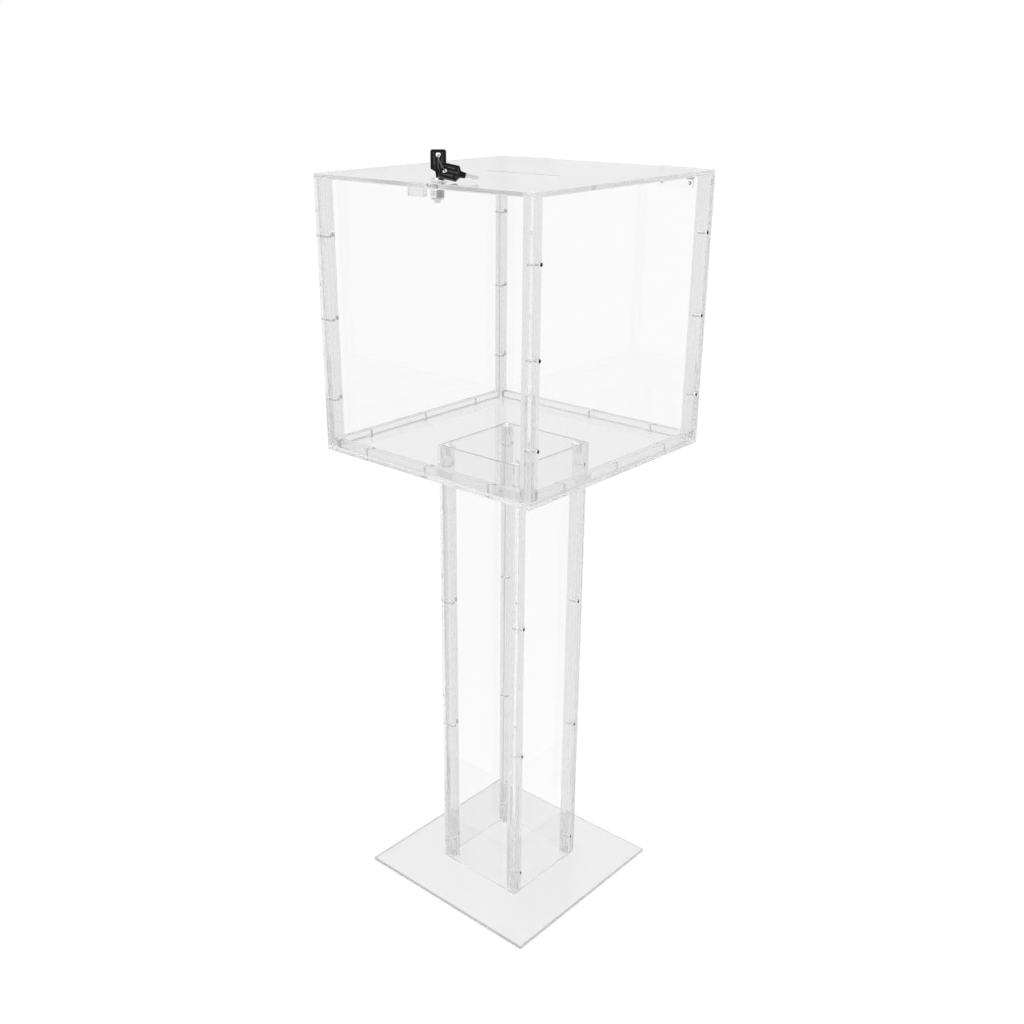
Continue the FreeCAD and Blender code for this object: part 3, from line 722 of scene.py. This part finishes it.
def lock_body():
    """The chrome lock body: a domed head over a threaded barrel, bored for the plug.

    Its profile goes up the outside, over the head's rim along a quarter ellipse, and
    down the groove round the plug and the bore.
    """
    low, high = node_box("lock_body")
    bottom, seat, top = low[2], lid_top, high[2]
    # The barrel's chamfer up and in, the plain length under the head, the start of the dome and its
    # fall, and the groove's chamfer, foot and gap
    chamfer, chamfer_in, plain_neck = 0.4, 0.5, 2.0
    dome_start, dome_fall = 1.2, 1.8
    groove, ledge, gap = 0.8, 1.5, 0.06
    angle = full_turn(96)
    barrel = [(barrel_radius(angle, z, seat - plain_neck), z)
              for z in np.linspace(bottom + chamfer, seat - 0.1, 90)]
    end = [(PLUG_R + 0.1, bottom), (barrel[0][0] - chamfer_in, bottom)]
    head = [(HEAD_R - chamfer, seat + 0.02), (HEAD_R, seat + chamfer), (HEAD_R, seat + dome_start)]
    head += [(HEAD_R - dome_fall * (1 - math.cos(a)),
              seat + dome_start + (top - seat - dome_start) * math.sin(a))
             for a in np.linspace(0, np.pi / 2, 12)[1:]]
    inner = [(RIM_R + 0.2, top - 0.5), (RIM_R + gap, top - groove), (RIM_R + gap, top - ledge),
             (PLUG_R + gap, top - ledge)]
    rows = end + barrel + head + inner
    piece = around_lock("turned_lock_body", rows, angle, True)
    mark_sharp(piece)
    # The thread on the barrel's round parts, and the groove, take the mid grey of painted shade and painted
    # reflection
    painted_shade = np.zeros((len(rows), len(angle)), dtype=int)
    threaded = np.abs(np.sin(angle + np.pi / len(angle))) < 0.9 * BARREL_FLAT / BARREL_R
    painted_shade[len(end):len(end) + len(barrel)] = threaded
    painted_shade[len(rows) - len(inner) - 1:-2] = 1
    piece.data.polygons.foreach_set("material_index", painted_shade.ravel())
    dress(piece, (chrome, thread_and_groove_shade), "lid", "lock_body")


def lock_nut():
    """The nut: a hexagon whose corners are turned down at both faces.

    Radius over angle is the hexagon's, limited near each face by a 30 degree cone; the
    inside is the thread's clearance hole.
    """
    low, high = node_box("lock_nut")
    thick = high[2] - low[2]
    bore = BARREL_R + 0.1
    angle = full_turn(96)
    hexagon = NUT_ACROSS / 2 / np.cos((angle + np.pi / 6) % (np.pi / 3) - np.pi / 6)
    depths = (0.0, 0.35, 0.75, 1.2)
    rows = []
    for z in depths + tuple(thick - depth for depth in depths[::-1]):
        cone = NUT_ACROSS / 2 + min(z, thick - z) / math.tan(math.radians(30))
        rows.append((np.minimum(hexagon, cone), low[2] + z))
    rows += [(bore, high[2]), (bore, low[2])]
    piece = around_lock("pressed_lock_nut", rows, angle, False)
    dress(piece, (chrome,), "lid", "lock_nut")


lock_body()
lock_nut()


# Keys and ring

def turn(axis, degrees):
    """The matrix that turns a column of coordinates about one axis."""
    c, s = math.cos(math.radians(degrees)), math.sin(math.radians(degrees))
    i, j = ((1, 2), (2, 0), (0, 1))[axis]
    m = np.eye(3)
    m[i, i], m[i, j], m[j, i], m[j, j] = c, -s, s, c
    return m


KEY_TURN = turn(2, KEY_ANGLE)
SPARE_TURN = KEY_TURN @ turn(1, SPARE_LEAN) @ turn(2, SPARE_TWIST)
KEY_HOLE = np.array([LOCK_X, LOCK_Y, node_box("key_head")[1][2] - HOLE_FROM_END])
SPARE_HOLE = KEY_HOLE + KEY_TURN @ (SPARE_OFFSET, -SPARE_ASIDE, -SPARE_DROP)
HEAD_FOOT = HOLE_FROM_END - HEAD_LENGTH


def key_outline():
    """The moulded head's outline round the ring hole at the origin, as points (width, height).

    One half is drawn from the top down and mirrored: a quarter circle, a straight side,
    a sloping shoulder with softened corners, a tapering neck and its end.
    """
    top, foot, r = HOLE_FROM_END, HEAD_FOOT, HEAD_CORNER
    half = HEAD_W / 2 - SKIN
    crown = [(half - r + r * math.cos(a), top - r + r * math.sin(a)) for a in np.linspace(0, np.pi / 2, 7)]
    side = [(half, top - r - 0.4 - d) for d in np.linspace(0, HEAD_LENGTH - r - SLOPE - 2.2, 8)]
    shoulder = [(half, foot + SLOPE + 0.8), (half - 0.4, foot + SLOPE + 0.1),
                (half - 1.2, foot + SLOPE - 0.5), (NECK_W / 2 + 1.2, foot + 0.5),
                (NECK_W / 2 + 0.3, foot - 0.1), (NECK_W / 2, foot - 0.9)]
    neck = [(3.3 + 0.35 * (1 - k), foot - 0.9 - (NECK_LENGTH - 1.5) * k) for k in (0.3, 0.6, 1.0)]
    end = [(2.9, foot - NECK_LENGTH), (1.2, foot - NECK_LENGTH)]
    right = crown[::-1] + side + shoulder + neck + end
    return np.array([(-x, z) for x, z in right] + right[::-1])


def paint_highlight(piece, share):
    """Writes each vertex's share of painted highlight, from 0 to 1, into the piece's own map as its first
    coordinate.
    """
    corner = np.zeros(len(piece.data.loops), dtype=int)
    piece.data.loops.foreach_get("vertex_index", corner)
    layer = piece.data.uv_layers.new(name=PAINTED_HIGHLIGHT_MAP)
    layer.data.foreach_set("uv", np.column_stack([share[corner], np.zeros(len(corner))]).ravel())


def key_head(name, spin, hole, body, node):
    """A moulded key head, a ruled sheet between its ring hole and its outline.

    Column k runs from the hole's edge towards outline point k; along it the half
    thickness is a quarter circle at both edges and full in between, and less by the
    depth of a sunk, ribbed grip where the point is far enough from the outline, the hole
    and the neck. The neck is thinner.
    """
    rim = key_outline()
    toward = rim / np.linalg.norm(rim, axis=1)[:, None]
    start = toward * KEY_HOLE_R
    length = np.linalg.norm(rim - start, axis=1)
    quarter = np.linspace(0, np.pi / 2, 5)
    near = [(HOLE_EDGE * (1 - math.sin(a)), HOLE_EDGE * (1 - math.cos(a))) for a in quarter[::-1]]
    far = [(RIM_EDGE * (1 - math.sin(a)), RIM_EDGE * (1 - math.cos(a))) for a in quarter]
    between = np.linspace(0, 1, 26)[1:-1]
    rows = [(np.full(len(rim), inn), drop) for inn, drop in near]
    rows += [(HOLE_EDGE + (length - HOLE_EDGE - RIM_EDGE) * f, 0.0) for f in between]
    rows += [(length - inn, drop) for inn, drop in far]
    # Painted highlight over the rim's rounded edge, row by row
    edge_highlight = np.concatenate([np.zeros(len(near) + len(between)), (0.0, 0.7, 1.0, 1.0, 0.8)])
    half_t = HEAD_T / 2 - SKIN
    # How far from the outline, the neck and the ring hole the grip starts and is full
    outline_off, neck_off, hole_off = (2.6, 3.4), (2.2, 3.2), (1.5, 2.3)
    neck_loss, neck_run = 0.36, 0.8 * NECK_LENGTH
    front = []
    rubbed = []
    for (out, drop), at_edge in zip(rows, edge_highlight):
        x, z = (start + toward * out[:, None]).T
        inside = np.minimum(HEAD_W / 2 - np.abs(x), np.minimum(HOLE_FROM_END - z, z - HEAD_FOOT))
        slope = z - HEAD_FOOT + (NECK_W / 2 + 1 - np.abs(x)) * 0.5
        grip = step(inside, *outline_off) * step(slope, *neck_off)
        grip = grip * step(np.hypot(x, z), *(KEY_HOLE_R + off for off in hole_off))
        rib = grip * (0.5 + 0.5 * np.cos(2 * np.pi * np.clip(x / RIB_STEP, -1.5, 1.5)))
        thin = 1 - neck_loss * step(HEAD_FOOT - z, 0, neck_run)
        front.append(np.column_stack([x, thin * (half_t - drop - PANEL_DEPTH * grip + RIB_HEIGHT * rib), z]))
        # Painted highlight on the rib crests and the rim
        rubbed.append(np.maximum(rib ** 3, at_edge))
    front = np.stack(front)
    grid = np.concatenate([front, front[::-1] * (1, -1, 1)])
    verts = grid.reshape(-1, 3) @ spin.T + hole
    piece = mesh_piece(name, [(verts, grid_faces(len(grid), len(rim), True, True))], smooth=True)
    paint_highlight(piece, np.concatenate(rubbed + rubbed[::-1]))
    dress(piece, (black_plastic,), body, node)


def key_blade(name, spin, hole, body, node):
    """A milled key blade: one cross section carried from the neck to the tip.

    The section is a flat bar with a groove on each face, given in shares of its half
    width and half thickness; its one edge follows the key's cuts, straight slopes
    between flats, and both edges draw in at the tip.
    """
    foot = HEAD_FOOT - NECK_LENGTH
    tip = foot - BLADE_LENGTH
    z = np.linspace(foot + 3, tip, 120)
    up = z - tip
    cut = np.zeros(len(z))
    for i, depth in enumerate(CUT_DEPTHS):
        away = np.abs(up - FIRST_CUT - CUT_STEP * i)
        cut = np.maximum(cut, depth * np.clip((CUT_HALF - away) / CUT_SLOPE, 0, 1))
    draw = np.clip(TIP - up, 0, TIP)
    right = BLADE_W / 2 - np.maximum(cut, draw)
    left = -BLADE_W / 2 + draw
    half_t = BLADE_T / 2 - SKIN
    section = ((1, 0.55), (0.94, 0.9), (0.86, 1), (0.30, 1), (0.16, 0.55), (-0.10, 0.55), (-0.24, 1),
               (-0.86, 1), (-0.94, 0.9), (-1, 0.55), (-1, -0.55), (-0.94, -0.9), (-0.86, -1), (-0.55, -1),
               (-0.42, -0.6), (-0.2, -0.6), (-0.06, -1), (0.86, -1), (0.94, -0.9), (1, -0.55))
    centre, half = (right + left) / 2, (right - left) / 2
    rows = np.stack([np.column_stack([np.clip(sx * BLADE_W / 2, centre - half, centre + half),
                                      np.full(len(z), sy * half_t), z]) for sx, sy in section], axis=1)
    verts = rows.reshape(-1, 3) @ spin.T + hole
    piece = mesh_piece(name, [flip((verts, tube_faces(len(z), len(section))))])
    dress(piece, (key_nickel,), body, node)


def split_ring():
    """A split ring of wire wound twice: a round section carried along two turns.

    The centreline is R (cos t, sin t) with t from 0 to 4 pi, and its height steps from
    -w to +w over a short stretch in the middle. R is that of the circle through both
    keys' holes whose centre lies outwards and down from the key's. The wire is a hair
    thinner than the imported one, so that its two turns stay apart.
    """
    chord = math.hypot(SPARE_OFFSET, SPARE_DROP)
    radius = (chord * chord + SPARE_ASIDE * SPARE_ASIDE) / (2 * chord)
    run = np.array([SPARE_OFFSET, 0, -SPARE_DROP]) / chord
    aside = np.array([0, -1.0, 0])
    spin = np.column_stack([-run, aside, np.cross(-run, aside)])
    half_wire = RING_WIRE / 2
    end_gap, crossover, rise, thin = 0.02, 0.5, 0.98, 0.96
    t = np.linspace(end_gap, 4 * np.pi - end_gap, 240)
    lift = half_wire * rise * (2 * step(t, 2 * np.pi - crossover, 2 * np.pi + crossover) - 1)
    section = full_turn(12)[:, None]
    out = np.stack([np.cos(t), np.sin(t), np.zeros(len(t))], axis=-1)
    up = np.array([0, 0, 1.0])
    centre = out * radius + lift[:, None] * up
    verts = centre[:, None] + half_wire * thin * (np.cos(section) * out[:, None] + np.sin(section) * up)
    verts = verts.reshape(-1, 3) @ spin.T + run * radius
    verts = verts @ KEY_TURN.T + KEY_HOLE
    piece = mesh_piece("wound_split_ring", [flip((verts, tube_faces(len(t), len(section))))], smooth=True)
    dress(piece, (ring_steel,), "ring", "key_ring")


key_head("moulded_key_head", KEY_TURN, KEY_HOLE, "key", "key_head")
key_head("moulded_spare_head", SPARE_TURN, SPARE_HOLE, "spare", "spare_key_head")
key_blade("milled_key_blade", KEY_TURN, KEY_HOLE, "key", "key_blade")
key_blade("milled_spare_blade", SPARE_TURN, SPARE_HOLE, "spare", "spare_key_blade")
split_ring()


def screw_group(name, kind, screws, crown_material):
    """All screws of one node, in bright zinc but for the crowns of their heads, which on the side screws are
    painted shade over the cross recess.
    """
    made = [part for screw in screws for part in kind(*screw)]
    piece = mesh_piece("turned_" + name, [part for part, _ in made], smooth=True)
    finish = np.concatenate([part_finish for _, part_finish in made]).astype(int)
    piece.data.polygons.foreach_set("material_index", finish)
    dress(piece, (bright_screw, crown_material), "stand", name)


# The side screws' crowns get painted shade over their cross recesses
for side in ("left", "right"):
    screw_group("column_screws_" + side, pan_screw, column_side[side], pin_steel_and_recess_shade)
    screw_group("box_screws_" + side, pan_screw, box_side[side], pin_steel_and_recess_shade)
screw_group("column_top_screws", pan_screw, top_screws, bright_screw)
screw_group("floor_screws", sunk_screw, rail_screws, bright_screw)
screw_group("column_base_screws", sunk_screw, foot_screws, bright_screw)


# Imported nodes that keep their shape

def finish_node(name, mat):
    """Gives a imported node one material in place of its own."""
    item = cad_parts[name]
    item.data.materials.clear()
    item.data.materials.append(mat)


for side in ("left", "right"):
    finish_node("hinge_lid_leaf_" + side, hinge_plastic)
    finish_node("hinge_wall_leaf_" + side, hinge_plastic)
    finish_node("hinge_pin_" + side, pin_steel_and_recess_shade)
finish_node("hinge_screws", bright_screw)
finish_node("lock_plug", chrome)
for name in ("cam", "cam_washer", "cam_screw"):
    finish_node(name, zinc)


# Floor, light and camera

FLOOR_HALF, FLOOR_Z = 60.0, -0.0004
FLOOR_LIFT, FLOOR_MATT = 0.80, 0.24
# The room's light by height, from the horizon to overhead
SKY = ((0.0, 1.0), (0.05, 0.90), (0.10, 0.86), (0.29, 0.86), (0.62, 0.86), (0.80, 0.5), (1.0, 0.35))


def grey(level):
    """A linear grey as a colour."""
    return level, level, level, 1


def plain_floor():
    """A pale floor that keeps the object's shadow and is as white as the backdrop it runs into.

    It lights the object as plain white paint does; only what is looked at, mirrored or
    seen through clear plastic is lifted to the backdrop's white.
    """
    mesh = bpy.data.meshes.new("floor")
    corners = [(x * FLOOR_HALF, y * FLOOR_HALF, FLOOR_Z) for x, y in ((-1, -1), (1, -1), (1, 1), (-1, 1))]
    mesh.from_pydata(corners, [], [(0, 1, 2, 3)])
    floor = bpy.data.objects.new("floor", mesh)
    scene.collection.objects.link(floor)
    mat, tree = new_material("matt_white_floor")
    matt = add(tree, "ShaderNodeBsdfDiffuse", {"Color": grey(FLOOR_MATT)})
    glow = add(tree, "ShaderNodeEmission", {"Color": grey(1), "Strength": FLOOR_LIFT})
    seen = add(tree, "ShaderNodeAddShader", {0: matt.outputs[0], 1: glow.outputs[0]})
    plain = add(tree, "ShaderNodeBsdfDiffuse", {"Color": srgb("#f6f6f6")})
    path = add(tree, "ShaderNodeLightPath")
    looks = add(tree, "ShaderNodeMath", {0: path.outputs["Is Camera Ray"], 1: path.outputs["Is Glossy Ray"]})
    looks = add(tree, "ShaderNodeMath", {0: looks.outputs[0], 1: path.outputs["Is Transmission Ray"]},
                use_clamp=True)
    either = add(tree, "ShaderNodeMixShader", {0: looks.outputs[0], 1: plain.outputs[0], 2: seen.outputs[0]})
    add(tree, "ShaderNodeOutputMaterial", {"Surface": either.outputs[0]})
    mat.cycles.emission_sampling = "NONE"
    mesh.materials.append(mat)


def studio_light():
    """World light: white at the horizon, greyer overhead as in a studio; the camera sees plain white."""
    world = bpy.data.worlds.new("studio")
    scene.world = world
    world.use_nodes = True
    tree = world.node_tree
    tree.nodes.clear()
    place = add(tree, "ShaderNodeTexCoord")
    split = add(tree, "ShaderNodeSeparateXYZ", {0: place.outputs["Generated"]})
    ramp = add(tree, "ShaderNodeValToRGB", {0: split.outputs["Z"]})
    levels = ramp.color_ramp.elements
    for element, (spot, level) in zip(levels, (SKY[0], SKY[-1])):
        element.position = spot
        element.color = grey(level)
    for spot, level in SKY[1:-1]:
        levels.new(spot).color = grey(level)
    path = add(tree, "ShaderNodeLightPath")
    room = add(tree, "ShaderNodeBackground", {"Color": ramp.outputs["Color"], "Strength": 1.0})
    plain = add(tree, "ShaderNodeBackground", {"Color": grey(1), "Strength": 1.0})
    either = add(tree, "ShaderNodeMixShader", {0: path.outputs["Is Camera Ray"], 1: room.outputs[0],
                                               2: plain.outputs[0]})
    add(tree, "ShaderNodeOutputWorld", {"Surface": either.outputs[0]})


def by_axes(x, y, z, place):
    """The matrix of an object with the given axes at a place."""
    return Matrix([*zip(x, y, z, place), (0, 0, 0, 1)])


def sun(name, level, around, up, wide):
    """A wide sun, by its angles around and above and the angle it fills, all in degrees."""
    a, b = math.radians(around), math.radians(up)
    away = (math.cos(b) * math.cos(a), math.cos(b) * math.sin(a), math.sin(b))
    data = bpy.data.lights.new(name, "SUN")
    data.energy = level
    data.angle = math.radians(wide)
    item = bpy.data.objects.new(name, data)
    scene.collection.objects.link(item)
    item.matrix_world = by_axes(*along(None, away)[1:], away)


def photo_camera():
    """The camera solved from the photograph's edges: its angles, place, lens and shifts."""
    around, down, roll = (math.radians(angle) for angle in (42.641, 22.870, -0.306))
    flat = math.cos(down)
    forward = np.array([-math.sin(around) * flat, math.cos(around) * flat, -math.sin(down)])
    right = np.cross(forward, (0, 0, 1))
    right = right / np.linalg.norm(right)
    up = np.cross(right, forward)
    rolled_right = math.cos(roll) * right + math.sin(roll) * up
    rolled_up = -math.sin(roll) * right + math.cos(roll) * up
    data = bpy.data.cameras.new("camera")
    data.lens = 41.21
    data.sensor_width = 36.0
    data.shift_x = 0.0392
    data.shift_y = 0.0385
    data.clip_end = 200.0
    item = bpy.data.objects.new("camera", data)
    scene.collection.objects.link(item)
    item.matrix_world = by_axes(rolled_right, rolled_up, -forward, (1.11804, -1.30910, 1.31603))
    scene.camera = item


plain_floor()
studio_light()
sun("high_light", 1.0, -100, 62, 20)
photo_camera()
scene.view_settings.view_transform = "Standard"
# Clear sheets one behind another need more passes than the defaults
scene.cycles.max_bounces = 96
scene.cycles.transmission_bounces = 96
scene.cycles.glossy_bounces = 96
scene.cycles.transparent_max_bounces = 64
# The room's light reaches what stands in or behind clear plastic
scene.cycles.caustics_reflective = True
scene.cycles.caustics_refractive = True
